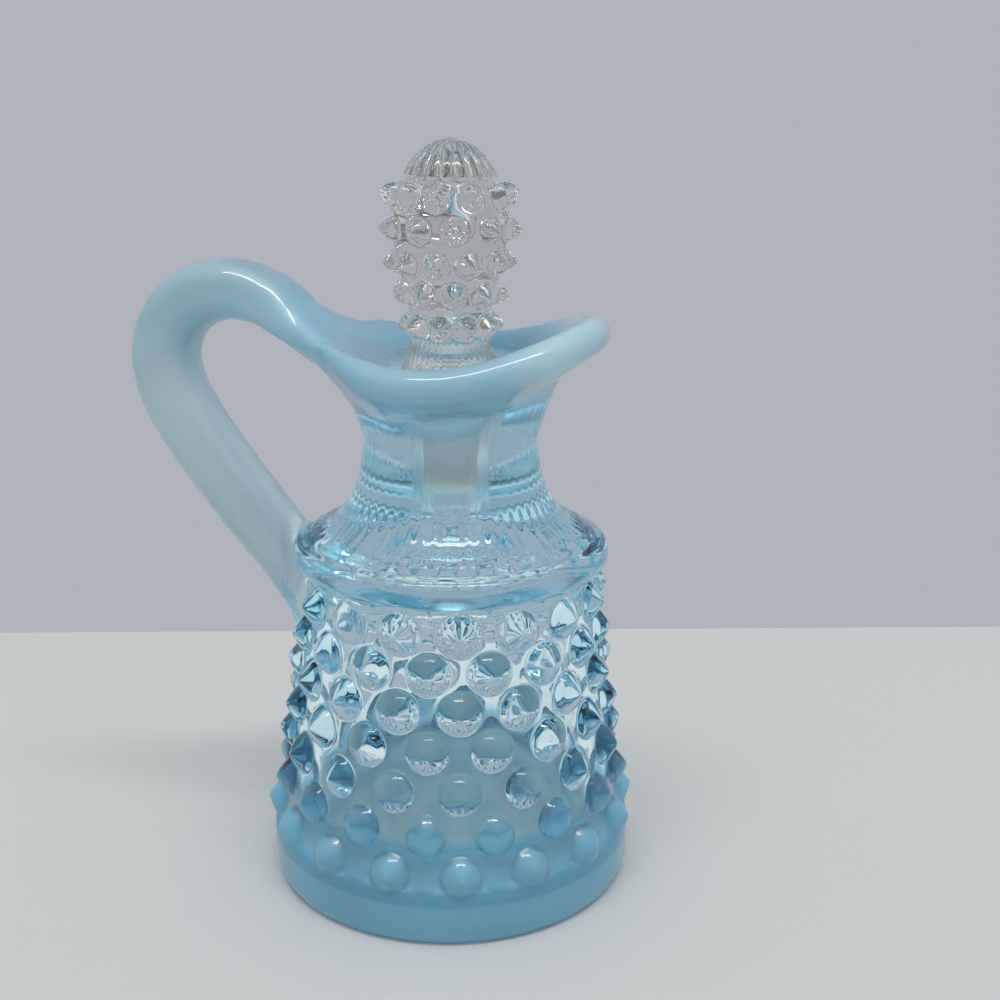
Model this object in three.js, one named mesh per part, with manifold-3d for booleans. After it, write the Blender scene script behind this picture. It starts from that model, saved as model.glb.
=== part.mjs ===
// A small pressed-glass cruet with raised hobs, a looped handle, a pinched pouring lip and a
// ground-in glass stopper. Millimetres, +Z up, the middle of the foot's underside at the origin.
// The handle points along -X and the spout along +X.
import * as THREE from "three";
import { mergeVertices } from "three/addons/utils/BufferGeometryUtils.js";
import Module from "manifold-3d";

// Foot and body
const FOOT_RADIUS = 30.4;
const FOOT_HEIGHT = 7.6;
const FOOT_BEVEL = 0.9;
const BODY_HEIGHT = 45.6;
const BODY_BASE_RADIUS = 29.4;
const BODY_TOP_RADIUS = 23.3;
const BODY_SWEEP = 1.5; // power of the wall's outward sweep towards the foot
const WALL = 4.9;
const FLOOR = 9.2;
const FLOOR_CORNER = 4;

// Ring around the shoulder
const RING_OVERHANG = 2.6;
const RING_HEIGHT = 5;
const RING_ROUND = 2.4; // depth of its round outer edge
const RING_TURN = 70; // degrees that the round edge turns each way from its middle

// Shoulder and neck
const SHOULDER_INSET = 3.2; // from the outside of the ring in to the start of the shoulder
const SHOULDER_STEP = 0.8; // from the top of the ring up to that start
const SHOULDER_RUN = 4.8; // how far in, and how far up, the shoulder aims before it turns upright
const SHOULDER_LIFT = 2.3;
const SHOULDER_RISE = 5.2;
const NECK_RADIUS = 13.95;
const NECK_HEIGHT = 10.6; // from the top of the shoulder to the narrowest place
const NECK_SPLAY = 1.2; // how far the neck's foot aims outwards
const FLARE_HEIGHT = 14.8; // from the narrowest place to the crest of the lip
const FLARE_STRAIGHT = 8.6; // how far up the flare aims before it turns outwards
const FLARE_SPLAY = 2.2; // how far the flare has spread where it turns into the lip's underside

// Lip, as it is at its low places front and back
const LIP_RADIUS = 19.3;
const LIP_ROUND = 2;
const LIP_UNDERCUT = 33; // degrees that the lip's rounding goes on below its widest place
const SPOUT_REACH = 4;
const SPOUT_RISE = 5;
const SPOUT_FOCUS = 5;
const HANDLE_SIDE_REACH = 3.2;
const HANDLE_SIDE_RISE = 4.2;
const HANDLE_SIDE_FOCUS = 4;

// Mouth and bore
const LEDGE_RADIUS = 16.2;
const LEDGE_DROP = 3.8; // from the crest of the lip to the ledge's outer edge
const LEDGE_FALL = 1.6; // from the ledge's outer edge to the bore
const BORE_RADIUS = 5.3;
const BORE_LENGTH = 22;
const TAPER = 0.055; // radius lost per millimetre of ground bore and shank
const BORE_EASE = 0.5; // rounding of the bore's mouth
const THROAT_DROP = 7; // from the ring's underside down to where the throat meets the wall

// Hobs on the body
const HOB_ROWS = 7;
const HOBS_PER_ROW = 16;
const HOB_RADIUS = 3.4;
const HOB_HEIGHT = 3.4;
const HOB_TOP_MARGIN = 4.5; // from the ring down to the centres of the top row
const HOB_FOOT_MARGIN = 3.3; // from the foot up to the centres of the bottom row
const ROW_SPREAD = 1.05; // rows lie a little further apart towards the foot
const HOB_TURN = 0.75; // turn of the top row from -Y, in steps of the row

// Handle
const HANDLE_THICKNESS = 9.2;
const HANDLE_WIDTH = 11.4;
const HANDLE_CORNER = 3.2;
const HANDLE_SPAN = 53; // from the axis to the outside of the loop
const HANDLE_CREST = 12.6; // from the crest of the lip to the top of the loop
const TAIL_DROP = 11.2; // from the ring's underside to the centre of the tail's end

// Stopper
const STOPPER_HEAD = 36.9; // from the skirt's underside to the tip
const SKIRT_RADIUS = 8.2;
const SKIRT_HEIGHT = 6.6;
const WAIST_RADIUS = 6.1;
const KNOB_RADIUS = 8.8;
const CAP_RADIUS = 7.4;
const CAP_HEIGHT = 6.4;
const BULGE_DROP = 5.5; // from the cap down to the knob's widest place
const SHANK_LENGTH = 18.2;
const KNOB_ROWS = 5;
const KNOB_HOBS = 10;
const KNOB_HOB_RADIUS = 1.75;
const KNOB_HOB_HEIGHT = 2.1;
const KNOB_TOP_MARGIN = 2.3; // from the cap down to the centres of the top row
const KNOB_ROW_PITCH = 4.93;

// Clearances
const JOIN_GAP = 0.32; // between the handle and the glass that it grows out of
const SEAT_GAP = 0.3; // between the stopper's skirt and the ledge
const BORE_GAP = 0.3; // between the ground shank and its bore
const HOB_SINK = 1.2; // depth of each hob's root in the wall

// Fineness of the facets
const ROUND_STEPS = 32;
const KNOB_STEPS = 20;
const HOB_SIDES = 6;

// Heights that follow from the sizes above
const RING_BOTTOM = FOOT_HEIGHT + BODY_HEIGHT;
const RING_TOP = RING_BOTTOM + RING_HEIGHT;
const RING_RADIUS = BODY_TOP_RADIUS + RING_OVERHANG;
const SHOULDER_TOP = RING_TOP + SHOULDER_RISE;
const NECK_Z = SHOULDER_TOP + NECK_HEIGHT;
const LIP_Z = NECK_Z + FLARE_HEIGHT;
const LEDGE_Z = LIP_Z - LEDGE_DROP;
const BORE_TOP = LEDGE_Z - LEDGE_FALL;
const BORE_BOTTOM = BORE_TOP - BORE_LENGTH;
const TAIL_Z = RING_BOTTOM - TAIL_DROP;
const TAIL_BOTTOM = TAIL_Z - 0.3 * HANDLE_THICKNESS;

const wasm = await Module();
wasm.setup();

const smooth = (t) => {
  const s = Math.min(Math.max(t, 0), 1);
  return s * s * (3 - 2 * s);
};

// Radius of the body's wall at a height.
function wallRadius(z) {
  const down = Math.min(Math.max((RING_BOTTOM - z) / BODY_HEIGHT, 0), 1);
  return BODY_TOP_RADIUS + (BODY_BASE_RADIUS - BODY_TOP_RADIUS) * down ** BODY_SWEEP;
}

// Points of a cubic curve, each [radius, height], without the last one.
function curve(from, pullFrom, pullTo, to, steps) {
  const corners = [from, pullFrom, pullTo, to].map(([r, z]) => new THREE.Vector2(r, z));
  return new THREE.CubicBezierCurve(...corners).getPoints(steps).slice(0, -1).map((p) => [p.x, p.y]);
}

// Points of an oval arc, each [radius, height]. Degrees count from 0 outwards to 90 upwards.
function arc([r, z], width, height, from, to, steps) {
  const points = [];
  for (let i = 0; i <= steps; i++) {
    const angle = THREE.MathUtils.degToRad(from + ((to - from) * i) / steps);
    points.push([r + width * Math.cos(angle), z + height * Math.sin(angle)]);
  }
  return points;
}

// Moves each point of a rising outline outwards, so that its two lines lie at the distance.
function moveOut(points, distance) {
  const outward = (from, to) => new THREE.Vector2(to[1] - from[1], from[0] - to[0]).normalize();
  return points.map((point, i) => {
    const before = outward(points[Math.max(i - 1, 0)], points[Math.max(i, 1)]);
    const last = points.length - 1;
    const after = outward(points[Math.min(i, last - 1)], points[Math.min(i + 1, last)]);
    const middle = before.clone().add(after).normalize();
    const reach = distance / middle.dot(before);
    return [point[0] + middle.x * reach, point[1] + middle.y * reach];
  });
}

// The outside of the jug from the edge of its foot up to the crest of its lip, moved out by grow.
function outerOutline(grow) {
  const wall = [];
  const wallSteps = 4;
  for (let i = 0; i <= wallSteps; i++) {
    const z = FOOT_HEIGHT + (BODY_HEIGHT * i) / wallSteps;
    wall.push([wallRadius(z), z]);
  }
  const ringMiddle = [RING_RADIUS - RING_ROUND, RING_BOTTOM + RING_HEIGHT / 2];
  const shoulder = [RING_RADIUS - SHOULDER_INSET, RING_TOP + SHOULDER_STEP];
  const neck = [NECK_RADIUS, NECK_Z];
  const lip = arc([LIP_RADIUS, LIP_Z - LIP_ROUND], LIP_ROUND, LIP_ROUND, -LIP_UNDERCUT, 90, 3);
  const points = [
    [FOOT_RADIUS - FOOT_BEVEL, 0],
    [FOOT_RADIUS, FOOT_BEVEL],
    [FOOT_RADIUS, FOOT_HEIGHT - FOOT_BEVEL],
    ...wall,
    ...arc(ringMiddle, RING_ROUND, RING_HEIGHT / 2, -RING_TURN, RING_TURN, 4),
    ...curve(
      shoulder, [shoulder[0] - SHOULDER_RUN, shoulder[1] + SHOULDER_LIFT],
      [NECK_RADIUS + NECK_SPLAY, SHOULDER_TOP], neck, 6),
    ...curve(
      neck, [NECK_RADIUS, NECK_Z + FLARE_STRAIGHT],
      [NECK_RADIUS + FLARE_SPLAY, lip[0][1] - LIP_ROUND / 2], lip[0], 6),
    ...lip,
  ];
  const moved = moveOut(points, grow);
  return moved.map(([r, z], i) => [r, z, smooth((points[i][1] - NECK_Z) / (FLARE_HEIGHT - LIP_ROUND))]);
}

// The inside of the jug from behind the crest of its lip down to the middle of the floor.
function innerOutline() {
  const lipInside = LIP_RADIUS - LIP_ROUND;
  const boreEnd = BORE_RADIUS - TAPER * BORE_LENGTH;
  const wallTop = RING_BOTTOM - THROAT_DROP;
  const wallBottom = FLOOR + FLOOR_CORNER;
  const floorRadius = wallRadius(FLOOR) - WALL;
  const floorEdge = [floorRadius - FLOOR_CORNER, FLOOR];
  const inside = (z) => [wallRadius(z) - WALL, z];
  const wall = [];
  const wallSteps = 5;
  for (let i = 0; i < wallSteps; i++) wall.push(inside(wallTop + ((wallBottom - wallTop) * i) / wallSteps));
  const dish = [
    [lipInside, LIP_Z - 0.4 * LIP_ROUND, 0.9],
    [(lipInside + LEDGE_RADIUS) / 2, (LIP_Z + LEDGE_Z) / 2, 0.5],
  ];
  const hollow = [
    [LEDGE_RADIUS, LEDGE_Z],
    [BORE_RADIUS + BORE_EASE, BORE_TOP],
    [BORE_RADIUS, BORE_TOP - BORE_EASE],
    [boreEnd, BORE_BOTTOM],
    ...curve(
      [boreEnd, BORE_BOTTOM - 1], [boreEnd + 1.5, BORE_BOTTOM - 6],
      [inside(wallTop)[0], wallTop + THROAT_DROP], inside(wallTop), 6),
    ...wall,
    ...curve(
      inside(wallBottom), [floorRadius, FLOOR + 0.25 * FLOOR_CORNER],
      [floorRadius - 0.25 * FLOOR_CORNER, FLOOR], floorEdge, 3),
    floorEdge,
    [0, FLOOR],
  ];
  return [...dish, ...hollow.map(([r, z]) => [r, z, 0])];
}

// Draws the lip out to the spout on +X and up to the handle on -X. The weight says how much of
// that a point follows, from none below the neck to all at the crest.
function shapeLip(x, y, z, weight) {
  const round = Math.hypot(x, y);
  if (weight === 0 || round < 1e-6) return [x, y, z];
  const towards = x / round;
  const spout = ((1 + towards) / 2) ** SPOUT_FOCUS;
  const back = ((1 - towards) / 2) ** HANDLE_SIDE_FOCUS;
  const scale = 1 + (weight * (SPOUT_REACH * spout + HANDLE_SIDE_REACH * back)) / round;
  return [x * scale, y * scale, z + weight * (SPOUT_RISE * spout + HANDLE_SIDE_RISE * back)];
}

// Turns an outline of [radius, height, weight] about Z into a solid with a shaped lip.
function turnJug(outline) {
  const geometry = new THREE.LatheGeometry(outline.map(([r, z]) => new THREE.Vector2(r, z)), ROUND_STEPS);
  geometry.rotateX(Math.PI / 2);
  const place = geometry.attributes.position;
  for (let i = 0; i < place.count; i++) {
    const weight = outline[i % outline.length][2];
    place.setXYZ(i, ...shapeLip(place.getX(i), place.getY(i), place.getZ(i), weight));
  }
  return toSolid(geometry);
}

// Turns an outline of [radius, height] about Z into a solid.
function turn(outline, steps) {
  const geometry = new THREE.LatheGeometry(outline.map(([r, z]) => new THREE.Vector2(r, z)), steps);
  geometry.rotateX(Math.PI / 2);
  return toSolid(geometry);
}

// Makes a solid of a closed geometry: shared corners are merged and empty triangles left out.
function toSolid(geometry) {
  const bare = geometry.clone();
  bare.deleteAttribute("normal");
  bare.deleteAttribute("uv");
  const merged = mergeVertices(bare, 1e-4);
  const index = merged.index.array;
  const kept = [];
  for (let i = 0; i < index.length; i += 3) {
    const [a, b, c] = [index[i], index[i + 1], index[i + 2]];
    if (a !== b && b !== c && c !== a) kept.push(a, b, c);
  }
  const mesh = new wasm.Mesh({
    numProp: 3,
    vertProperties: new Float32Array(merged.attributes.position.array),
    triVerts: new Uint32Array(kept),
  });
  return new wasm.Manifold(mesh);
}

function toGeometry(solid) {
  const mesh = solid.getMesh();
  const geometry = new THREE.BufferGeometry();
  geometry.setAttribute("position", new THREE.BufferAttribute(new Float32Array(mesh.vertProperties), 3));
  geometry.setIndex(new THREE.BufferAttribute(new Uint32Array(mesh.triVerts), 1));
  geometry.computeVertexNormals();
  return geometry;
}

// One pointed hob on a wall: its root is sunk in, and its axis leaves the wall at (radius, height)
// in the direction of azimuth, counted from -Y towards +X.
function hob(radius, height, azimuth, size, rise) {
  const outline = [
    [0, -HOB_SINK], [size + HOB_SINK, -HOB_SINK], [0.5 * size, 0.62 * rise], [0, rise],
  ];
  const geometry = new THREE.LatheGeometry(outline.map(([r, z]) => new THREE.Vector2(r, z)), HOB_SIDES);
  geometry.rotateX(Math.PI);
  geometry.translate(0, -radius, height);
  geometry.rotateZ(azimuth);
  return toSolid(geometry);
}

// The jug's glass with its hobs. Hobs that the handle's tail would cover are left out.
function makeVessel() {
  const shell = turnJug([[0, 0, 0], ...outerOutline(0), ...innerOutline()]);
  const topRow = RING_BOTTOM - HOB_TOP_MARGIN;
  const bottomRow = FOOT_HEIGHT + HOB_FOOT_MARGIN;
  const step = (2 * Math.PI) / HOBS_PER_ROW;
  const parts = [shell];
  for (let row = 0; row < HOB_ROWS; row++) {
    const height = topRow - (topRow - bottomRow) * (row / (HOB_ROWS - 1)) ** ROW_SPREAD;
    const radius = wallRadius(height);
    for (let i = 0; i < HOBS_PER_ROW; i++) {
      const azimuth = (i + HOB_TURN + (row % 2) / 2) * step;
      const besideHandle = Math.abs(radius * Math.cos(azimuth));
      const onHandleSide = Math.sin(azimuth) < 0;
      const clearBeside = HANDLE_WIDTH / 2 + HOB_RADIUS + JOIN_GAP;
      const clearBelow = TAIL_BOTTOM - JOIN_GAP - HOB_RADIUS;
      if (onHandleSide && besideHandle < clearBeside && height > clearBelow) continue;
      parts.push(hob(radius, height, azimuth, HOB_RADIUS, HOB_HEIGHT));
    }
  }
  return wasm.Manifold.union(parts);
}

// The middle line of the handle: out of the lip, over the top, round and down to the body.
function handleLine() {
  const half = HANDLE_THICKNESS / 2;
  const lipX = -(LIP_RADIUS + HANDLE_SIDE_REACH);
  const top = LIP_Z + HANDLE_CREST - half;
  const outX = -(HANDLE_SPAN - half);
  const tailX = -(wallRadius(TAIL_Z) - 1.2);
  return new THREE.CatmullRomCurve3([
    [lipX + 4.5, LIP_Z - 2.2],
    [lipX - 2.8, LIP_Z + 3.2],
    [lipX - 9.5, top - 1.4],
    [lipX - 15.5, top],
    [outX + 4.6, top - 3.2],
    [outX + 0.6, top - 8.4],
    [outX + 0.6, top - 14],
    [outX + 3.8, top - 21.4],
    [tailX - 9.6, TAIL_Z + 15.4],
    [tailX - 5.8, TAIL_Z + 10.2],
    [tailX - 2.4, TAIL_Z + 5],
    [tailX, TAIL_Z],
  ].map(([x, z]) => new THREE.Vector3(x, 0, z)));
}

// A rectangle with round corners, width along x.
function roundedRectangle(width, depth, corner) {
  const [x, y] = [width / 2 - corner, depth / 2 - corner];
  const shape = new THREE.Shape();
  shape.absarc(x, y, corner, 0, Math.PI / 2);
  shape.absarc(-x, y, corner, Math.PI / 2, Math.PI);
  shape.absarc(-x, -y, corner, Math.PI, 1.5 * Math.PI);
  shape.absarc(x, -y, corner, 1.5 * Math.PI, 2 * Math.PI);
  return shape;
}

// The handle, cut to the outside of the jug with a small gap, also above the lip.
function makeHandle() {
  const bar = toSolid(new THREE.ExtrudeGeometry(
    roundedRectangle(HANDLE_WIDTH, HANDLE_THICKNESS, HANDLE_CORNER),
    { steps: 32, curveSegments: 2, bevelEnabled: false, extrudePath: handleLine() }));
  const outside = outerOutline(JOIN_GAP);
  const roof = LIP_Z + HANDLE_CREST + HANDLE_THICKNESS;
  const rim = outside[outside.length - 3];
  const jug = turnJug([
    [0, -1, 0], ...outside.slice(0, -2), [rim[0], roof, rim[2]], [0, roof, 0],
  ]);
  return bar.subtract(jug);
}

// The stopper: a capped knob with hobs over a flared skirt, and a tapered shank below it.
function makeStopper() {
  const skirtRise = (SKIRT_RADIUS - BORE_RADIUS) * (LEDGE_FALL / (LEDGE_RADIUS - BORE_RADIUS));
  const seat = BORE_TOP + skirtRise + SEAT_GAP;
  const shankTop = BORE_RADIUS - BORE_GAP;
  const shankEnd = shankTop - TAPER * SHANK_LENGTH;
  const waist = seat + SKIRT_HEIGHT;
  const tip = seat + STOPPER_HEAD;
  const cap = tip - CAP_HEIGHT;
  const bulge = cap - BULGE_DROP;
  const knob = [
    [WAIST_RADIUS, waist], ...curve([WAIST_RADIUS, waist + 1], [WAIST_RADIUS, waist + 6],
      [KNOB_RADIUS, bulge - 5], [KNOB_RADIUS, bulge], 6),
    [KNOB_RADIUS, bulge], [KNOB_RADIUS - 0.1, cap - 3], [KNOB_RADIUS - 0.7, cap - 1.2],
    [CAP_RADIUS - 0.1, cap - 0.4],
  ];
  const dome = curve([CAP_RADIUS, cap], [CAP_RADIUS, cap + 0.45 * CAP_HEIGHT],
    [0.45 * CAP_RADIUS, tip - 1], [0, tip], 6);
  const core = turn([
    [0, BORE_TOP - SHANK_LENGTH], [shankEnd - 0.5, BORE_TOP - SHANK_LENGTH],
    [shankEnd, BORE_TOP - SHANK_LENGTH + 0.6], [shankTop, BORE_TOP], [shankTop, seat],
    [SKIRT_RADIUS, seat], [SKIRT_RADIUS - 0.1, seat + 0.7],
    ...curve([SKIRT_RADIUS - 0.5, seat + 1.6], [SKIRT_RADIUS - 1.2, seat + 3],
      [WAIST_RADIUS + 0.3, waist - 2], [WAIST_RADIUS, waist], 3),
    ...knob, ...dome, [0, tip],
  ], KNOB_STEPS);
  const parts = [core];
  const topRow = cap - KNOB_TOP_MARGIN;
  const step = (2 * Math.PI) / KNOB_HOBS;
  for (let row = 0; row < KNOB_ROWS; row++) {
    const height = topRow - row * KNOB_ROW_PITCH;
    const radius = radiusAt(knob, height);
    for (let i = 0; i < KNOB_HOBS; i++) {
      const azimuth = (i + (row % 2) / 2) * step;
      parts.push(hob(radius, height, azimuth, KNOB_HOB_RADIUS, KNOB_HOB_HEIGHT));
    }
  }
  return wasm.Manifold.union(parts);
}

// Radius of an outline of rising [radius, height] points at a height.
function radiusAt(outline, height) {
  const next = outline.findIndex(([, z]) => z >= height);
  const [r0, z0] = outline[Math.max(next - 1, 0)];
  const [r1, z1] = outline[next];
  return z1 > z0 ? r0 + ((r1 - r0) * (height - z0)) / (z1 - z0) : r1;
}

function piece(name, solid, look) {
  const mesh = new THREE.Mesh(toGeometry(solid), new THREE.MeshStandardMaterial(look));
  mesh.name = name;
  return mesh;
}

const cruet = new THREE.Group();
cruet.add(piece("vessel", makeVessel(), { color: 0x8cc0d2, roughness: 0.06, metalness: 0 }));
cruet.add(piece("handle", makeHandle(), { color: 0x9fc6d4, roughness: 0.08, metalness: 0 }));
cruet.add(piece("stopper", makeStopper(), { color: 0xc4cac8, roughness: 0.05, metalness: 0 }));

export default cruet;
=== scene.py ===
"""A small pressed-glass cruet: its jug, its loose stopper, and the plain table that it stands on.

Sizes in the classes are millimetres. +Z is up, the handle points along -X and the spout along +X,
and the origin is the middle of the foot's flat underside. Azimuths are counted from -Y towards +X.
A finished mesh is brought to metres.
"""

import logging
import math
from collections.abc import Callable, Iterable
from dataclasses import dataclass, field
from enum import Enum

import bmesh
import bpy
from mathutils import Matrix, Vector, geometry, kdtree
from mathutils.bvhtree import BVHTree


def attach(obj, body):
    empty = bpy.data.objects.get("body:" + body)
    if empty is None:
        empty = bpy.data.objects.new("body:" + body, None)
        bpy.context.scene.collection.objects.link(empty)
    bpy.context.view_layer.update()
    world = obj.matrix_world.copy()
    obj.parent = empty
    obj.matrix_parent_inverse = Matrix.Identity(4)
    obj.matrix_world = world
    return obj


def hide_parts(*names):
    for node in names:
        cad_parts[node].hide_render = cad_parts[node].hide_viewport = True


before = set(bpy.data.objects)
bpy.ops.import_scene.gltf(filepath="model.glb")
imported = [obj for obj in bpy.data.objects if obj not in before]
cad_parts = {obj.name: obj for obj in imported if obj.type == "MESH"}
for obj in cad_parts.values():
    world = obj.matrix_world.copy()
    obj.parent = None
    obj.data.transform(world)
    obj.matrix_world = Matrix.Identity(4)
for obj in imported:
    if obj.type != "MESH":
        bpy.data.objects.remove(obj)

METRES = 0.001  # of a millimetre
WELD = 0.004  # millimetres between points that are one point
LOG = logging.getLogger("cruet")
Point = tuple[float, float]
BMesh = bmesh.types.BMesh


class Body(Enum):
    """The bodies of the frame that the pieces ride on."""

    JUG = "jug"
    STOPPER = "plug"


def smooth(share: float) -> float:
    """Returns 0 below 0, 1 above 1, and an even rise between them."""
    s = min(max(share, 0.0), 1.0)
    return s * s * (3 - 2 * s)


def higher(one: float, other: float, blend: float) -> float:
    """Returns the larger of two heights, rounded where they cross.

    Args:
        one: The first height.
        other: The second height.
        blend: How wide the rounding is.

    Returns:
        A height that is never under either of them.
    """
    gap = one - other
    return (one + other + math.sqrt(gap * gap + blend * blend)) / 2


def curve(start: Point, pull: Point, end_pull: Point, end: Point, steps: int) -> list[Point]:
    """Points of a cubic curve in the plane of radius and height.

    Args:
        start: Where it starts.
        pull: Where it aims at first.
        end_pull: Where it comes from at the end.
        end: Where it ends.
        steps: How many stretches it has.

    Returns:
        The points from start to end, both included.
    """
    corners = [Vector((r, z, 0.0)) for r, z in (start, pull, end_pull, end)]
    return [(p.x, p.y) for p in geometry.interpolate_bezier(*corners, steps + 1)]


def arc(middle: Point, width: float, height: float, start: float, end: float, steps: int) -> list[Point]:
    """Points of an oval arc in the plane of radius and height.

    Args:
        middle: The middle of the oval.
        width: Half its size across.
        height: Half its size upwards.
        start: The angle where it starts, in degrees from outwards to upwards.
        end: The angle where it ends.
        steps: How many stretches it has.

    Returns:
        The points from start to end, both included.
    """
    turns = [math.radians(start + (end - start) * i / steps) for i in range(steps + 1)]
    return [(middle[0] + width * math.cos(t), middle[1] + height * math.sin(t)) for t in turns]


def around(radius: float, azimuth: float, height: float) -> Vector:
    """Returns the place at a radius and height, turned from -Y towards +X."""
    return Vector((radius * math.sin(azimuth), -radius * math.cos(azimuth), height))


def azimuth_of(place: Vector) -> float:
    """Returns the turn of a place from -Y towards +X."""
    return math.atan2(place.x, -place.y)


def add(whole: BMesh, part: BMesh) -> None:
    """Moves one shape over to another.

    Args:
        whole: The shape that grows.
        part: The shape that is moved, which is freed.
    """
    carrier = bpy.data.meshes.new("carrier")
    part.to_mesh(carrier)
    part.free()
    whole.from_mesh(carrier)
    bpy.data.meshes.remove(carrier)


def weld_skins(skins: Iterable[BMesh]) -> BMesh:
    """Welds open skins and bridges the two rims that are left open.

    Args:
        skins: The skins, which are used up.

    Returns:
        A closed shape.
    """
    whole, *others = skins
    for skin in others:
        add(whole, skin)
    bmesh.ops.remove_doubles(whole, verts=whole.verts, dist=WELD)
    bmesh.ops.bridge_loops(whole, edges=[e for e in whole.edges if e.is_boundary])
    return whole


def solid_mesh(bm: BMesh, name: str) -> bpy.types.Mesh:
    """Welds a closed shape, turns its faces outwards and makes it a mesh.

    Args:
        bm: The shape, which is freed.
        name: The mesh's name.

    Returns:
        The mesh, with smooth faces.
    """
    bmesh.ops.remove_doubles(bm, verts=bm.verts, dist=WELD)
    bmesh.ops.dissolve_degenerate(bm, edges=bm.edges, dist=WELD / 2)
    bmesh.ops.recalc_face_normals(bm, faces=bm.faces)
    if bm.calc_volume(signed=True) < 0:
        bmesh.ops.reverse_faces(bm, faces=bm.faces)
    for face in bm.faces:
        face.smooth = True
    mesh = bpy.data.meshes.new(name)
    bm.to_mesh(mesh)
    bm.free()
    return mesh


def new_object(mesh: bpy.types.Mesh) -> bpy.types.Object:
    """Puts a mesh in the scene as a new object.

    Args:
        mesh: The mesh, whose name the object takes.

    Returns:
        The object.
    """
    made = bpy.data.objects.new(mesh.name, mesh)
    bpy.context.scene.collection.objects.link(made)
    return made


def surface_tree(mesh: bpy.types.Mesh) -> BVHTree:
    """Returns a tree that finds the nearest place on a mesh."""
    places = [v.co for v in mesh.vertices]
    return BVHTree.FromPolygons(places, [p.vertices[:] for p in mesh.polygons])


def mark_points(mesh: bpy.types.Mesh, name: str, rule: Callable[[Vector, Vector], float]) -> None:
    """Writes a value for each point of a mesh.

    Args:
        mesh: The mesh, still in millimetres.
        name: The attribute's name.
        rule: Gives a point's value from its place and its outward direction.
    """
    mark = mesh.attributes.new(name, "FLOAT", "POINT")
    for vert in mesh.vertices:
        mark.data[vert.index].value = rule(vert.co, vert.normal)


@dataclass(frozen=True)
class ProfileRow:
    """One point of a turned outline.

    Attributes:
        radius: Its distance from the axis.
        height: Its height.
        lip: How far it follows the shape of the lip, from 0 to 1.
        run: Its distance from the outer ends of the flutes, or less than 0 where there are none.
    """

    radius: float
    height: float
    lip: float = 0.0
    run: float = -1.0


def measured(outline: list[Point], lip: Callable[[float], float] = lambda height: 0.0) -> list[ProfileRow]:
    """Makes rows of an outline that has flutes or ribs.

    Args:
        outline: Radii and heights, from the outer ends of the flutes on.
        lip: Gives how far a row follows the shape of the lip from its height.

    Returns:
        The rows.
    """
    rows: list[ProfileRow] = []
    run = 0.0
    for (radius, height), (before_radius, before_height) in zip(outline, outline[:1] + outline):
        run += math.hypot(radius - before_radius, height - before_height)
        rows.append(ProfileRow(radius, height, lip(height), run))
    return rows


def off_middle(azimuth: float, count: int, start: float = 0.0) -> float:
    """Returns how far an azimuth is from the middle of its flute or rib: 0 there, 1 at the edges."""
    phase = (azimuth - start) * count / math.tau
    return abs(phase - math.floor(phase) - 0.5) * 2


@dataclass
class Turning:
    """An outline turned about the axis.

    Attributes:
        rows: The points of the outline, in order.
        columns: How many steps the turn has.
        start: The azimuth of the first column.
    """

    rows: list[ProfileRow]
    columns: int
    start: float = 0.0

    def outward(self, index: int) -> Point:
        """Finds the direction that points out of the glass at a row.

        Args:
            index: The row's place in the outline.

        Returns:
            The direction, as radius and height.
        """
        before = self.rows[max(index - 1, 0)]
        after = self.rows[min(index + 1, len(self.rows) - 1)]
        way = Vector((after.height - before.height, before.radius - after.radius)).normalized()
        return way.x, way.y

    def build(self, shape: Callable[[Vector, ProfileRow, Point], Vector] | None = None) -> BMesh:
        """Spins the outline and shapes the result.

        Args:
            shape: Gives a point's final place from its turned place, its row and the row's
                outward direction.

        Returns:
            The turned skin, open at each end that isn't on the axis.
        """
        bm = bmesh.new()
        mark = bm.verts.layers.int.new("row")
        verts = []
        for index, row in enumerate(self.rows):
            vert = bm.verts.new(around(row.radius, self.start, row.height))
            vert[mark] = index
            verts.append(vert)
        edges = [bm.edges.new(pair) for pair in zip(verts, verts[1:])]
        bmesh.ops.spin(
            bm, geom=verts + edges, cent=(0, 0, 0), axis=(0, 0, 1), dvec=(0, 0, 0),
            angle=math.tau, steps=self.columns, use_merge=True, use_duplicate=False)
        bmesh.ops.remove_doubles(bm, verts=bm.verts, dist=WELD)
        if shape is not None:
            ways = [self.outward(i) for i in range(len(self.rows))]
            for vert in bm.verts:
                vert.co = shape(vert.co.copy(), self.rows[vert[mark]], ways[vert[mark]])
        return bm


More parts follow.
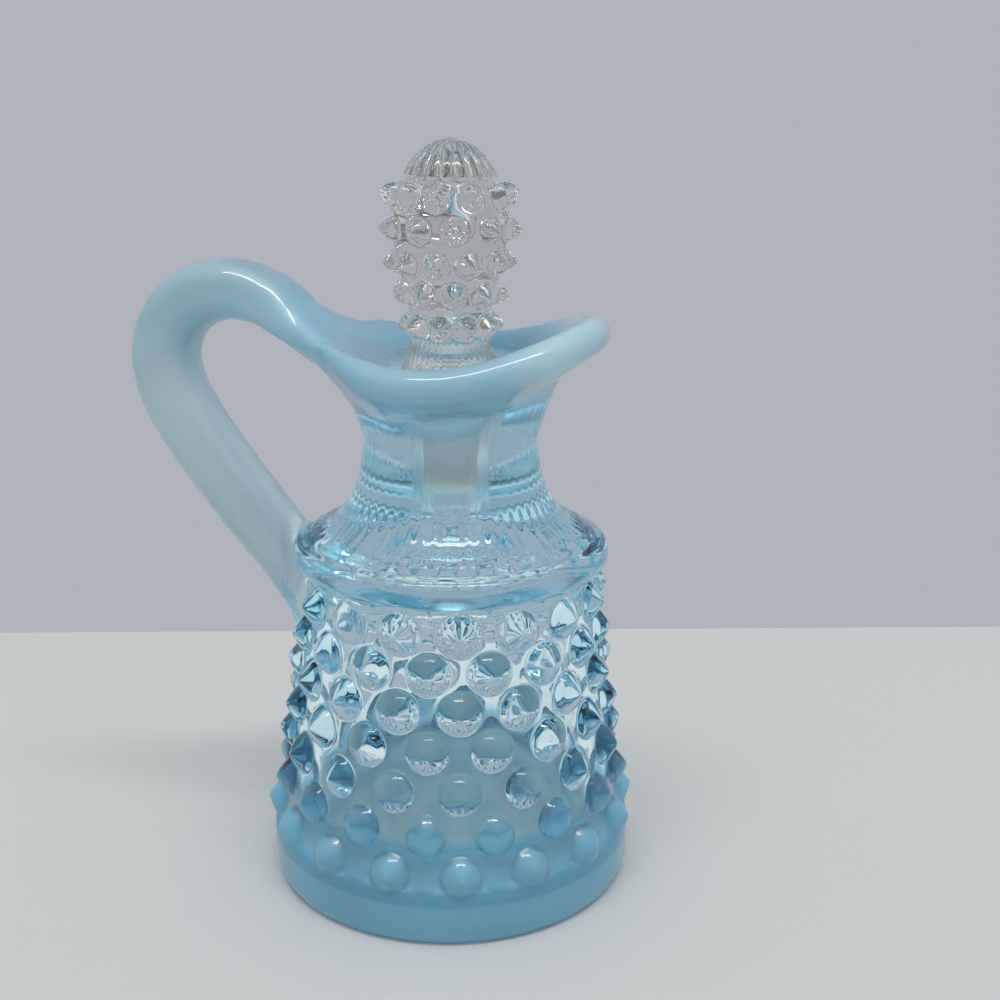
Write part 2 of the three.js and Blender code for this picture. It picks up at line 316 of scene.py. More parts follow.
@dataclass
class HobField:
    """Rows of pointed hobs on a turned wall, each row half a step on from the last.

    Each hob is built with the patch of wall around it, half way to its neighbours.

    Attributes:
        heights: The heights of the rows' centres, from the top down.
        per_row: How many hobs a row has.
        turn: The turn of the first row, in steps of a row.
        wall: Gives the wall's radius at a height.
        radius: Of a hob's foot.
        height: Of a hob's tip over the wall.
        tip: How rounded the tip is.
        shoulder: The share of the height that is lost in a steep drop at the hob's foot.
        fillet: How rounded the corner at a hob's foot is.
        top: The upper edge of the field.
        bottom: The lower edge of the field.
        top_steps: Edges along the top of each hob's patch.
        bottom_steps: Edges along the bottom of each hob's patch.
        slant_steps: Edges along each slanting side of a patch.
        side_steps: Edges along each upright side of a patch.
        rings: The rings of a hob, as shares of its radius, from the outside in.
        apron: How many rings lie between a patch's edge and its hob.
        reach: How far a hob and the corner at its foot reach, in radii.
        steepness: How sudden the drop at the foot is.
        relief: Gives the thickness over the wall of what surrounds the hobs at a height.
        bare: Says whether the hob at an azimuth and height is left out.
    """

    heights: list[float]
    per_row: int
    turn: float
    wall: Callable[[float], float]
    radius: float
    height: float
    tip: float
    shoulder: float
    fillet: float
    top: float
    bottom: float
    top_steps: int
    bottom_steps: int
    slant_steps: int = 6
    side_steps: int = 4
    rings: tuple[float, ...] = (1.1, 1.02, 0.97, 0.91, 0.82, 0.7, 0.4, 0.12)
    apron: int = 2
    reach: float = 1.15
    steepness: int = 6
    relief: Callable[[float], float] = lambda height: 0.0
    bare: Callable[[float, float], bool] = lambda azimuth, height: False

    @property
    def step(self) -> float:
        """The angle from one hob to the next in a row."""
        return math.tau / self.per_row

    def centre(self, row: int) -> float:
        """Returns the azimuth of a row's first hob."""
        return (self.turn + (row % 2) / 2) * self.step

    def rise(self, distance: float) -> float:
        """Measures a hob, with its rounded tip and foot.

        Args:
            distance: How far a place is from its centre.

        Returns:
            The hob's height over the wall there.
        """
        along = math.hypot(distance, self.tip) - self.tip
        along /= math.hypot(self.radius, self.tip) - self.tip
        fallen = along + self.shoulder * (along ** self.steepness - along)
        return higher(self.height * (1 - fallen), 0.0, self.fillet)

    def on_wall(self, azimuth: float, height: float, rise: float) -> Vector:
        """Finds a place over the wall.

        Args:
            azimuth: Its azimuth.
            height: The height of the wall's point that it stands out from.
            rise: How far it stands out.

        Returns:
            The place.
        """
        delta = 0.05
        slope = (self.wall(height + delta) - self.wall(height - delta)) / (2 * delta)
        way = Vector((1.0, -slope)).normalized()
        return around(self.wall(height) + way.x * rise, azimuth, height + way.y * rise)

    def crossing(self, row: int, other: int) -> tuple[float, float]:
        """Where the corners lie between a row and one next to it.

        Args:
            row: The row.
            other: The row above or below it.

        Returns:
            The height of the corner in line with the hob, and of the corners beside it.
        """
        pitch = abs(self.heights[row] - self.heights[other])
        upwards = 1 if self.heights[other] > self.heights[row] else -1
        half = self.wall((self.heights[row] + self.heights[other]) / 2) * self.step / 2
        reach = (half * half + pitch * pitch) / (2 * pitch)
        return self.heights[row] + upwards * reach, self.heights[row] + upwards * (pitch - reach)

    def outline(self, row: int) -> list[Point]:
        """Draws the edge of a row's patches.

        Args:
            row: The row, counted from the top.

        Returns:
            The edge's points, as steps of the row from the hob's centre, and heights.
        """
        last = len(self.heights) - 1
        corners: list[tuple[float, float, int]] = []
        if row == last:
            side = self.bottom
            corners.append((-0.5, side, self.bottom_steps))
        else:
            tip, side = self.crossing(row, row + 1)
            corners += [(-0.5, side, self.slant_steps), (0.0, tip, self.slant_steps)]
        corners.append((0.5, side, self.side_steps))
        if row == 0:
            corners += [(0.5, self.top, self.top_steps), (-0.5, self.top, self.side_steps)]
        else:
            tip, side = self.crossing(row, row - 1)
            corners += [(0.5, side, self.slant_steps), (0.0, tip, self.slant_steps)]
            corners.append((-0.5, side, self.side_steps))
        points = []
        for (u, z, steps), (next_u, next_z, _) in zip(corners, corners[1:] + corners[:1]):
            points += [(u + (next_u - u) * i / steps, z + (next_z - z) * i / steps) for i in range(steps)]
        return points

    def patch(self, row: int) -> BMesh:
        """Builds one hob of a row with the wall around it.

        Args:
            row: The row, counted from the top.

        Returns:
            An open skin, its face pointing outwards.
        """
        edge = self.outline(row)
        middle = self.heights[row]
        width = self.wall(middle) * self.step
        bm = bmesh.new()
        made = bmesh.ops.create_circle(bm, cap_ends=True, segments=len(edge), radius=1.0)
        face = made["verts"][0].link_faces[0]
        flat = [Vector((u * width, z - middle)) for u, z in edge]
        rings = [(1 - i / (self.apron + 1), self.rings[0]) for i in range(self.apron + 1)]
        rings += [(0.0, share) for share in self.rings]
        for order, (outer, share) in enumerate(rings):
            if order > 0:
                bmesh.ops.inset_individual(bm, faces=[face], thickness=0.01, use_even_offset=False)
            for vert, spot in zip(face.verts, flat):
                at = spot.lerp(spot.normalized() * (share * self.radius), 1 - outer)
                azimuth = self.centre(row) + at.x / self.wall(middle)
                rise = self.rise(at.length) if order > 0 else 0.0
                vert.co = self.on_wall(azimuth, middle + at.y, self.covered(rise, middle + at.y))
        tip = bmesh.ops.poke(bm, faces=[face])["verts"][0]
        tip.co = self.on_wall(self.centre(row), middle, self.rise(0.0))
        return bm

    def covered(self, rise: float, height: float) -> float:
        """Returns the rise of a hob where it meets what surrounds it at a height."""
        cover = self.relief(height)
        return higher(rise, cover, min(self.fillet, cover)) if rise > 0 else cover

    def build(self) -> BMesh:
        """Builds every row, with the patches joined.

        Returns:
            The field as an open skin.
        """
        whole = bmesh.new()
        for row in range(len(self.heights)):
            ring = self.patch(row)
            bmesh.ops.spin(
                ring, geom=ring.verts[:] + ring.edges[:] + ring.faces[:], cent=(0, 0, 0),
                axis=(0, 0, 1), dvec=(0, 0, 0), angle=math.tau - self.step,
                steps=self.per_row - 1, use_merge=False, use_duplicate=True)
            add(whole, ring)
        bmesh.ops.remove_doubles(whole, verts=whole.verts, dist=WELD)
        self.leave_bare(whole)
        return whole

    def leave_bare(self, whole: BMesh) -> None:
        """Lowers the hobs that are left out down to the wall.

        Args:
            whole: The finished field.
        """
        for row, height in enumerate(self.heights):
            for i in range(self.per_row):
                azimuth = self.centre(row) + i * self.step
                if self.bare(azimuth, height):
                    self.lower(whole, azimuth, height)

    def lower(self, whole: BMesh, azimuth: float, height: float) -> None:
        """Presses one hob flat.

        Args:
            whole: The finished field.
            azimuth: The hob's azimuth.
            height: The height of its centre.
        """
        for vert in whole.verts:
            turned = math.remainder(azimuth_of(vert.co) - azimuth, math.tau)
            beside = Vector((turned * self.wall(height), vert.co.z - height))
            if beside.length < self.radius * self.reach:
                ease = self.wall(vert.co.z) / math.hypot(vert.co.x, vert.co.y)
                vert.co.x *= min(ease, 1.0)
                vert.co.y *= min(ease, 1.0)


@dataclass
class Handle:
    """The looped handle, a bar with flattened sides.

    Attributes:
        route: Points of its middle line, as x and height, from the lip to the body.
        width: Across the loop's plane.
        thickness: In the loop's plane.
        squareness: 2 for an oval bar, more for a squarer one.
        lip_width: Its width where it runs into the lip.
        lip_thickness: Its thickness there.
        lip_run: The share of the route along which it narrows to the bar.
        thick_run: The share of the route along which it thickens to the bar.
        tail_thickness: Its thickness at the tail's end.
        tail_run: The share of the route along which it thins to that.
        seam: How far the mould seam stands out along the outside and the inside.
        seam_half: Half its breadth, as a share of half the bar's width.
        stations: How many sections the bar has.
        sides: How many sides a section has.
    """

    route: list[Point]
    width: float = 11.3
    thickness: float = 10.4
    squareness: float = 2.7
    lip_width: float = 25.0
    lip_thickness: float = 6.4
    lip_run: float = 0.22
    thick_run: float = 0.34
    tail_thickness: float = 8.8
    tail_run: float = 0.25
    seam: float = 0.1
    seam_half: float = 0.08
    stations: int = 132
    sides: int = 48

    def line(self) -> list[Vector]:
        """Draws the bar's middle line.

        Returns:
            Evenly spaced points on a smooth curve through the route's points.
        """
        ends = [self.route[0], *self.route, self.route[-1]]
        marks = [Vector((x, 0.0, z)) for x, z in ends]
        fine: list[Vector] = []
        stretches = 24
        for a, b, c, d in zip(marks, marks[1:], marks[2:], marks[3:]):
            fine += geometry.interpolate_bezier(b, b + (c - a) / 6, c - (d - b) / 6, c, stretches)[:-1]
        fine.append(marks[-1])
        lengths = [0.0]
        for before, after in zip(fine, fine[1:]):
            lengths.append(lengths[-1] + (after - before).length)
        even, at = [], 0
        for i in range(self.stations):
            wanted = lengths[-1] * i / (self.stations - 1)
            while at < len(lengths) - 2 and lengths[at + 1] < wanted:
                at += 1
            share = (wanted - lengths[at]) / (lengths[at + 1] - lengths[at])
            even.append(fine[at].lerp(fine[at + 1], share))
        return even

    def section(self, share: float) -> tuple[float, float]:
        """Measures the bar.

        Args:
            share: Where along the route, from 0 at the lip to 1 at the tail.

        Returns:
            Its width and thickness there.
        """
        at_lip = 1 - smooth(share / self.lip_run)
        thinned = 1 - smooth((1 - share) / self.tail_run)
        width = self.width + (self.lip_width - self.width) * at_lip
        thin = 1 - smooth(share / self.thick_run)
        thickness = self.thickness + (self.lip_thickness - self.thickness) * thin
        return width, thickness + (self.tail_thickness - thickness) * thinned

    def build(self) -> BMesh:
        """Sweeps the section along the route.

        Returns:
            The bar as a closed shape.
        """
        line = self.line()
        bm = bmesh.new()
        made = bmesh.ops.create_circle(bm, cap_ends=True, segments=self.sides, radius=1.0)
        face = made["verts"][0].link_faces[0]
        for station, place in enumerate(line):
            if station > 0:
                grown = bmesh.ops.extrude_discrete_faces(bm, faces=[face])["faces"]
                face = grown[0]
            ahead = line[min(station + 1, len(line) - 1)] - line[max(station - 1, 0)]
            outwards = Vector((ahead.z, 0.0, -ahead.x)).normalized()
            width, thickness = self.section(station / (self.stations - 1))
            for corner, vert in enumerate(face.verts):
                across, out = self.rounded(math.tau * corner / self.sides)
                seam = math.copysign(self.seam * max(0.0, 1 - abs(across) / self.seam_half), out)
                aside = Vector((0.0, across * width / 2, 0.0))
                vert.co = place + aside + outwards * (out * thickness / 2 + seam)
        bmesh.ops.holes_fill(bm, edges=[e for e in bm.edges if e.is_boundary], sides=self.sides)
        return bm

    def rounded(self, turn: float) -> Point:
        """Finds a point of the section's outline.

        Args:
            turn: Its turn round the section, in radians.

        Returns:
            Its place across and outwards, each from -1 to 1.
        """
        power = 2 / self.squareness
        across, out = math.sin(turn), math.cos(turn)
        return math.copysign(abs(across) ** power, across), math.copysign(abs(out) ** power, out)


def through(points: list[Point]) -> Callable[[float], float]:
    """Fits a smooth outline.

    Args:
        points: Radii and heights that it passes through, from the bottom up.

    Returns:
        The radius as a function of the height.
    """
    last = len(points) - 1
    slopes = []
    for i in range(len(points)):
        before, after = points[max(i - 1, 0)], points[min(i + 1, last)]
        slopes.append((after[0] - before[0]) / (after[1] - before[1]))

    def radius(height: float) -> float:
        """Measures the outline.

        Args:
            height: At which height.

        Returns:
            Its radius there.
        """
        i = sum(z < height for _, z in points[1:-1])
        (low, low_z), (high, high_z) = points[i], points[i + 1]
        span = high_z - low_z
        t = min(max((height - low_z) / span, 0.0), 1.0)
        ease = t * t * (3 - 2 * t)
        bend = slopes[i] * t * (1 - t) ** 2 - slopes[i + 1] * t * t * (1 - t)
        return low + (high - low) * ease + bend * span

    return radius


@dataclass
class Jug:
    """The jug: foot, body with its hobs, ring, shoulder, neck, lip and handle, pressed as one piece.

    Attributes:
        base_radius: The body's wall at the bottom.
        top_radius: The body's wall under the ring.
        base_height: Where the wall starts to narrow.
        ring_bottom: The height of the ring's underside.
        sweep: How the narrowing is spread over the height.
        foot_radius: Of the band round the foot.
        band_top: The band's upper edge.
        foot_edge: The lower edge of the hobs' field.
        wall: The thickness of the body's wall.
        floor: The height of the inside's floor.
        tail_half: How far the handle's tail covers hobs to each side of its middle.
        tail_low: The height above which it does.
        lip_start: The height where the neck starts to follow the shape of the lip.
        lip_run: The height over which it comes to follow it all the way.
        columns: Steps round the outside above the hobs.
        foot_columns: Steps round the foot.
        inner_columns: Steps round the inside.
        start: The azimuth of the first column, in degrees.
        flutes: How many flutes the neck and shoulder have.
        flute_depth: How deep they are.
        flute_end: How long their rounded ends are.
        flute_thinner: The share by which they are shallower on the neck.
        flute_fade: The height where they start to fade out under the lip.
        neck_start: The height where the shoulder starts to turn into the neck.
        neck_run: The height over which it does.
        spout_reach: How far the spout stands out from the lip.
        spout_rise: How far it rises over it.
        spout_power: How narrow the spout is.
        back_reach: How far the lip stands out over the handle.
        back_rise: How far it rises there.
        back_power: How narrow it is there.
        back_swing: How late it rises towards the handle.
        lip_blend: How far the rounded corner reaches where the handle meets the lip.
        tail_blend: How far it reaches where the handle meets the body.
        lip_rounds: How often the corner at the lip is smoothed.
        tail_rounds: How often the corner at the body is smoothed.
        milk_start: The height where the lip starts to turn milky.
        milk_run: The height over which it becomes milky all the way.
        milk_inside: How much higher it starts on the inside.
        milk_thinner: The share by which it is less milky there.
        haze: How milky the neck is.
        foot_milk: The height where the foot's milkiness starts to fade.
        foot_milk_run: The height over which it does.
        hob_milk: How much higher it starts to fade on the hobs.
        leg_milk: How milky the handle's leg is.
        leg_top: The height where the handle starts to be milkier.
        top_milk: How much milkier its top is.
        ground_radius: Within which radius the bore is ground.
        ground_low: From which height.
        ground_high: Up to which height.
        hob_heights: The heights of the rows of hobs, from the top down.
        handle: The handle.
    """

    base_radius: float = 29.4
    top_radius: float = 23.3
    base_height: float = 7.6
    ring_bottom: float = 53.2
    sweep: float = 1.5
    foot_radius: float = 30.4
    band_top: float = 9.4
    foot_edge: float = 6.6
    wall: float = 4.9
    floor: float = 9.2
    tail_half: float = 7.5
    tail_low: float = 40.0
    lip_start: float = 73.5
    lip_run: float = 12.3
    columns: int = 432
    foot_columns: int = 288
    inner_columns: int = 144
    start: float = 0.625
    flutes: int = 54
    flute_depth: float = 0.08
    flute_end: float = 1.2
    flute_thinner: float = 0.45
    flute_fade: float = 77.0
    neck_start: float = 62.0
    neck_run: float = 6.0
    spout_reach: float = 4.1
    spout_rise: float = 5.9
    spout_power: int = 5
    back_reach: float = 3.2
    back_rise: float = 4.6
    back_power: int = 4
    back_swing: float = 1.8
    lip_blend: float = 9.5
    tail_blend: float = 2.4
    lip_rounds: int = 34
    tail_rounds: int = 6
    milk_start: float = 79.2
    milk_run: float = 7.6
    milk_inside: float = 3.4
    milk_thinner: float = 0.3
    haze: float = 0.13
    foot_milk: float = 10.5
    foot_milk_run: float = 8.0
    hob_milk: float = 3.5
    leg_milk: float = 0.45
    leg_top: float = 55.0
    top_milk: float = 0.25
    ground_radius: float = 5.6
    ground_low: float = 64.0
    ground_high: float = 83.1
    hob_heights: list[float] = field(
        default_factory=lambda: [48.9, 42.8, 36.65, 30.5, 24.05, 17.6, 11.05])
    handle: Handle = field(default_factory=lambda: Handle(route=[
        (-15.5, 85.4), (-19.8, 88.4), (-24.4, 92.0), (-30.6, 95.6), (-38.0, 96.7), (-44.8, 93.6),
        (-48.3, 87.2), (-47.6, 80.4), (-44.0, 73.4), (-38.4, 65.4), (-32.2, 57.6), (-28.0, 52.4),
        (-24.7, 47.1), (-22.5, 42.6), (-21.4, 39.4)]))

    def wall_radius(self, height: float) -> float:
        """Returns the radius of the body's wall, without its hobs."""
        up = (self.ring_bottom - height) / (self.ring_bottom - self.base_height)
        return self.top_radius + (self.base_radius - self.top_radius) * min(max(up, 0.0), 1.0) ** self.sweep

    def band(self, height: float) -> float:
        """Returns how far the foot's band stands out from the wall."""
        return (self.foot_radius - self.base_radius) * smooth((self.band_top + 0.3 - height) / 0.9)

    def behind_tail(self, azimuth: float, height: float) -> bool:
        """Says whether the handle's tail covers a hob."""
        place = around(self.wall_radius(height), azimuth, height)
        return place.x < 0 and abs(place.y) < self.tail_half and height > self.tail_low

    def hobs(self) -> BMesh:
        """Builds the body's wall with its hobs.

        Returns:
            An open skin.
        """
        return HobField(
            heights=self.hob_heights, per_row=16, turn=0.75, wall=self.wall_radius, radius=3.4,
            height=2.65, tip=0.45, shoulder=0.26, fillet=0.15, top=self.ring_bottom, bottom=self.foot_edge,
            top_steps=27, bottom_steps=18, relief=self.band, bare=self.behind_tail).build()

    def foot(self) -> BMesh:
        """Builds the foot below the hobs.

        Returns:
            An open skin.
        """
        edge = [(0.0, self.foot_edge), (0.0, 5.2), (0.02, 3.8), (0.08, 2.6), (0.2, 1.7)]
        edge += [(0.42, 0.95), (0.75, 0.42), (1.2, 0.1), (1.8, 0.0)]
        outline = [(self.foot_radius - inset, z) for inset, z in edge]
        outline += [(r, 0.0) for r in (26.0, 20.0, 12.0, 5.0, 0.0)]
        rows = [ProfileRow(*point) for point in outline]
        return Turning(rows, self.foot_columns, math.radians(self.start)).build()

    def inside(self) -> BMesh:
        """Builds the bore, the hollow and its floor.

        Returns:
            An open skin.
        """
        wall_top, wall_foot = 46.2, 13.2
        bore_steps, wall_steps = 8, 20
        bore_radius, bore_top, taper, length = 5.3, 82.9, 1.21, 21.5
        outline = [
            (bore_radius - taper * i / bore_steps, bore_top - length * i / bore_steps)
            for i in range(bore_steps + 1)]
        reach = self.wall_radius(wall_top) - self.wall
        outline += curve((4.09, 60.4), (5.59, 55.4), (reach, 53.2), (reach, wall_top), 18)
        for i in range(1, wall_steps + 1):
            z = wall_top + (wall_foot - wall_top) * i / wall_steps
            outline.append((self.wall_radius(z) - self.wall, z))
        low = self.wall_radius(wall_foot) - self.wall
        flat = (20.3, self.floor)
        outline += curve((low, wall_foot), (low + 0.35, 10.6), (low - 0.6, self.floor), flat, 8)[1:]
        outline += [(r, self.floor) for r in (16.0, 11.0, 5.0, 0.0)]
        rows = [ProfileRow(r, z) for r, z in outline]
        return Turning(rows, self.inner_columns, math.radians(self.start)).build()

    def upper_rows(self) -> list[ProfileRow]:
        """Draws the outline above the hobs.

        Returns:
            Its rows, from under the ring, over the lip and in to the bore.
        """
        ring = [(self.top_radius, self.ring_bottom), (23.8, 53.22)]
        ring += arc((23.5, 55.7), 2.4, 2.5, -70, 70, 16)
        ring += [(23.75, 58.22), (23.2, 58.5)]
        neck = (13.95, 74.0)
        fluted = curve((22.7, 59.0), (17.9, 61.3), (15.15, 63.4), neck, 24)
        fluted += curve(neck, (13.95, 77.5), (15.9, 79.1), (20.3, 83.35), 16)[1:]
        fluted += arc((18.3, 85.5), 2.9, 3.0, -46, 90, 12)[1:]
        inner_side = [(17.8, 88.35, 0.99), (17.3, 87.95, 0.93), (16.95, 87.4, 0.8), (16.7, 86.7, 0.55)]
        inner_side += [(16.45, 85.9, 0.25), (16.1, 85.25, 0.08), (15.5, 84.9, 0.0)]
        funnel = [(12.6, 84.4), (9.2, 83.9), (6.4, 83.5), (5.8, 83.35), (5.5, 83.2)]
        rows = [ProfileRow(*point) for point in ring]
        rows += measured(fluted, lambda height: smooth((height - self.lip_start) / self.lip_run))
        return rows + [ProfileRow(*point) for point in inner_side + funnel]

    def shaped(self, place: Vector, row: ProfileRow, way: Point) -> Vector:
        """Cuts the flutes and pinches the lip.

        Args:
            place: A point of the turned skin.
            row: The outline's row that it belongs to.
            way: The outward direction there, as radius and height.

        Returns:
            The point's final place.
        """
        azimuth = azimuth_of(place)
        cut = self.flute_cut(row, azimuth) if row.run >= 0 else 0.0
        radius = math.hypot(place.x, place.y)
        towards = place.x / max(radius, 1e-6)
        spout = ((1 + towards) / 2) ** self.spout_power
        back = ((1 - towards) / 2) ** self.back_power
        reach = self.spout_reach * spout + self.back_reach * back
        rise = self.spout_rise * max(towards, 0.0) ** 2
        rise += self.back_rise * smooth((-towards - 0.05) / 0.95) ** self.back_swing
        return around(
            radius - way[0] * cut + row.lip * reach, azimuth,
            place.z - way[1] * cut + smooth(2 * row.lip) * rise)

    def flute_cut(self, row: ProfileRow, azimuth: float) -> float:
        """Measures the flutes, which fade up the neck.

        Args:
            row: A row of the outline.
            azimuth: An azimuth.

        Returns:
            How deep they are cut there.
        """
        beside = off_middle(azimuth, self.flutes, math.radians(self.start))
        ahead = row.run - self.flute_end * (1 - math.sqrt(1 - beside * beside)) - 0.3
        on_neck = 1 - self.flute_thinner * self.neck(row.height)
        under_lip = 1 - smooth((row.height - self.flute_fade) / 7.0)
        return self.flute_depth * (1 - beside * beside) ** 2 * smooth(ahead / 0.7) * on_neck * under_lip

    def neck(self, height: float) -> float:
        """Returns 0 on the shoulder, 1 on the neck, and a rise from one to the other."""
        return smooth((height - self.neck_start) / self.neck_run)

    def vessel(self) -> BMesh:
        """Builds the jug without its handle.

        Returns:
            A closed shape.
        """
        upper = Turning(self.upper_rows(), self.columns, math.radians(self.start)).build(self.shaped)
        return weld_skins((self.hobs(), upper, self.foot(), self.inside()))

    def build(self) -> bpy.types.Object:
        """Builds and dresses the jug, its handle run into its lip and its body.

        Returns:
            The jug's object.
        """
        jug = new_object(solid_mesh(self.vessel(), "jug"))
        bar = new_object(solid_mesh(self.handle.build(), "handle_bar"))
        union = jug.modifiers.new("Handle", "BOOLEAN")
        union.operation = "UNION"
        union.solver = "MANIFOLD"
        union.object = bar
        seen = bpy.context.evaluated_depsgraph_get()
        union_mesh = bpy.data.meshes.new_from_object(jug.evaluated_get(seen))
        jug.modifiers.clear()
        bm = bmesh.new()
        bm.from_mesh(union_mesh)
        self.soften(bm, surface_tree(bar.data), surface_tree(jug.data))
        bpy.data.meshes.remove(union_mesh)
        for old in (jug.data, bar.data):
            bpy.data.meshes.remove(old)
        jug = new_object(solid_mesh(bm, "jug"))
        self.dress(jug)
        return jug

    def dress(self, jug: bpy.types.Object) -> None:
        """Makes the jug's glass milky and ground where it should be.

        Args:
            jug: The jug, still in millimetres.
        """
        self.mark_milk(jug.data)
        mark_points(jug.data, "ground", self.ground_bore)
        jug.data.materials.append(OpalBlueGlass().material())

    def ground_bore(self, place: Vector, way: Vector) -> float:
        """Returns 1 on the bore, which is ground to fit the stopper, and 0 elsewhere."""
        within = math.hypot(place.x, place.y) < self.ground_radius
        return float(within and self.ground_low < place.z < self.ground_high)

    def soften(self, bm: BMesh, bar: BVHTree, rest: BVHTree) -> None:
        """Rounds the corner where the handle meets the rest.

        Args:
            bm: The joined jug.
            bar: The handle before it was joined.
            rest: The jug before the handle was joined.
        """
        near = 0.02  # how close to both shapes a point of the corner lies
        shortest = 0.03  # shorter edges are dissolved
        lowest = 30.0
        neck_height = 70.0  # between the corner at the body and the one at the lip
        by_handle, by_corner = -8.0, -10.0
        sharp = [
            v for v in bm.verts if v.co.x < by_corner and v.co.z > lowest
            and bar.find_nearest(v.co, near)[0] is not None
            and rest.find_nearest(v.co, near)[0] is not None]
        tree = kdtree.KDTree(len(sharp))
        for i, vert in enumerate(sharp):
            tree.insert(vert.co, i)
        tree.balance()
        edges = [e for e in bm.edges if e.verts[0].co.x < by_corner]
        bmesh.ops.dissolve_degenerate(bm, edges=edges, dist=shortest)
        reach = {v: tree.find(v.co)[2] for v in bm.verts if v.co.x < by_handle and v.co.z > lowest}
        corners = ((self.lip_blend, self.lip_rounds, True), (self.tail_blend, self.tail_rounds, False))
        for blend, rounds, above in corners:
            here = [(v, away) for v, away in reach.items() if (v.co.z > neck_height) == above]
            # A few rounds over the whole reach, then more and more of them closer to the corner.
            for percent in range(100, 29, -7):
                soft = [v for v, away in here if away < blend * percent / 100]
                for _ in range(int(rounds * (1.15 - percent / 100))):
                    bmesh.ops.smooth_vert(
                        bm, verts=soft, factor=0.5, use_axis_x=True, use_axis_y=True, use_axis_z=True)

    def mark_milk(self, mesh: bpy.types.Mesh) -> None:
        """Writes how milky the glass is at each point.

        Args:
            mesh: The jug's mesh, still in millimetres.
        """
        line = self.handle.line()
        tree = kdtree.KDTree(len(line))
        for i, place in enumerate(line):
            tree.insert(place, i)
        tree.balance()
        by_handle, far = -15.0, 99.0

        def rule(place: Vector, way: Vector) -> float:
            """Returns how milky the glass is at a place."""
            return self.milk(place, way, tree.find(place)[2] if place.x < by_handle else far)

        mark_points(mesh, "milk", rule)

    def milk(self, place: Vector, way: Vector, away: float) -> float:
        """How milky the glass is at a place.

        Args:
            place: The place.
            way: The outward direction there.
            away: Its distance from the handle's middle line.

        Returns:
            0 for clear glass to 1 for the milkiest.
        """
        radius = math.hypot(place.x, place.y)
        outwards = (place.x * way.x + place.y * way.y) / max(radius, 1e-6)
        inside = 1 - smooth((outwards + 0.2) / 0.5)
        out = radius - self.wall_radius(min(place.z, self.ring_bottom))
        parts = (
            self.milk_above(place.z, inside), self.milk_below(place.z, out, inside),
            self.milk_on_handle(place.z, out, away))
        return min(max(parts), 1.0)

    def milk_above(self, height: float, inside: float) -> float:
        """Returns how milky the lip and neck are: less so, and from higher up, on the inside."""
        lip = smooth((height - self.milk_inside * inside - self.milk_start) / self.milk_run)
        return max(lip * (1 - self.milk_thinner * inside), self.haze * self.neck(height))

    def milk_below(self, height: float, out: float, inside: float) -> float:
        """Measures the milkiness of the foot, which reaches higher on the hobs.

        Args:
            height: The height.
            out: How far the place stands out from the wall.
            inside: 1 on the inside, 0 on the outside.

        Returns:
            0 for clear glass to 1 for the milkiest.
        """
        on_hob = smooth((out - 0.3) / 1.2) * (1 - inside)
        up = height - self.foot_milk + inside - self.hob_milk * on_hob
        return 1 - smooth(up / (self.foot_milk_run - 3.0 * inside))

    def milk_on_handle(self, height: float, out: float, away: float) -> float:
        """Returns how milky the handle is: more so towards its top."""
        on_handle = smooth((9.0 - away) / 2.0) * smooth((out - 2.0) / 4.0)
        return on_handle * (self.leg_milk + self.top_milk * smooth((height - self.leg_top) / 25.0))


